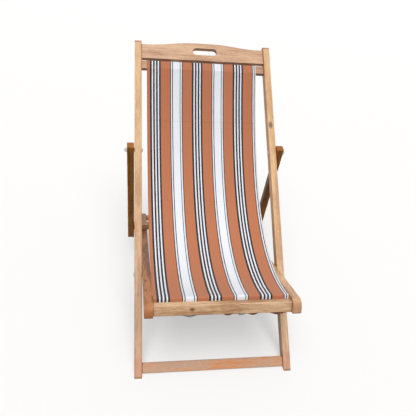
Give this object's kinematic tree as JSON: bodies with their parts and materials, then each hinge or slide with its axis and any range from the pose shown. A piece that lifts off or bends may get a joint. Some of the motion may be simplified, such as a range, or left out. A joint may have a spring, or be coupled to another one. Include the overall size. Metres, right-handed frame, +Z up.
{
  "type": "folding sling deckchair",
  "caption": "Folding wooden sling deckchair: a striped canvas sling on a back frame and a notched seat frame, with a rear prop.",
  "frame": {"origin": "on the floor, midway between the front-most and rear-most points and midway between the two sides", "axes": "+Z up; the sitter faces -Y, so the feet of the stiles are at -Y and the rear ends of the seat rails at +Y; +X to the sitter's left, which is the right in a view from the front"},
  "size_m": [0.6638, 1.0358, 0.9497],
  "materials": {
    "stile_wood": "satin oiled",
    "cross_wood": "satin oiled",
    "seat_wood": "satin oiled",
    "prop_wood": "satin oiled",
    "canvas": "woven cotton canvas, striped",
    "bolt_steel": "zinc plated",
    "washer_steel": "zinc plated",
    "tack_steel": "dull galvanised"
  },
  "bodies": {
    "back_frame": {"stile_left": "stile_wood", "stile_right": "stile_wood", "crown_rail": "cross_wood", "top_sling_rail": "cross_wood", "foot_rail": "cross_wood", "sling_back": "canvas", "top_sling_tacks": "tack_steel", "seat_bolt_left": "bolt_steel", "seat_bolt_right": "bolt_steel", "seat_nut_left": "bolt_steel", "seat_nut_right": "bolt_steel", "seat_washers_left": "washer_steel", "seat_washers_right": "washer_steel", "prop_bolt_left": "bolt_steel", "prop_bolt_right": "bolt_steel", "prop_nut_left": "bolt_steel", "prop_nut_right": "bolt_steel", "prop_washers_left": "washer_steel", "prop_washers_right": "washer_steel"},
    "seat_frame": {"seat_rail_left": "seat_wood", "seat_rail_right": "seat_wood", "front_rail": "seat_wood", "seat_sling_rail": "seat_wood", "rear_rail": "seat_wood", "sling_seat": "canvas", "seat_sling_tacks": "tack_steel"},
    "prop": {"prop_arm_left": "prop_wood", "prop_arm_right": "prop_wood", "prop_bar": "prop_wood"}
  },
  "joints": [
    {"name": "seat_fold", "type": "hinge", "parent": "back_frame", "child": "seat_frame", "pos_m": [0, -0.2214, 0.24938], "axis": [1, 0, 0], "range_deg": [-6, 58]},
    {"name": "prop_swing", "type": "hinge", "parent": "back_frame", "child": "prop", "pos_m": [0, 0.128, 0.60001], "axis": [1, 0, 0], "range_deg": [-12, 116]}
  ],
  "couplings": [
    {"joint": "prop_swing", "follows": "seat_fold", "ratio": 2}
  ]
}
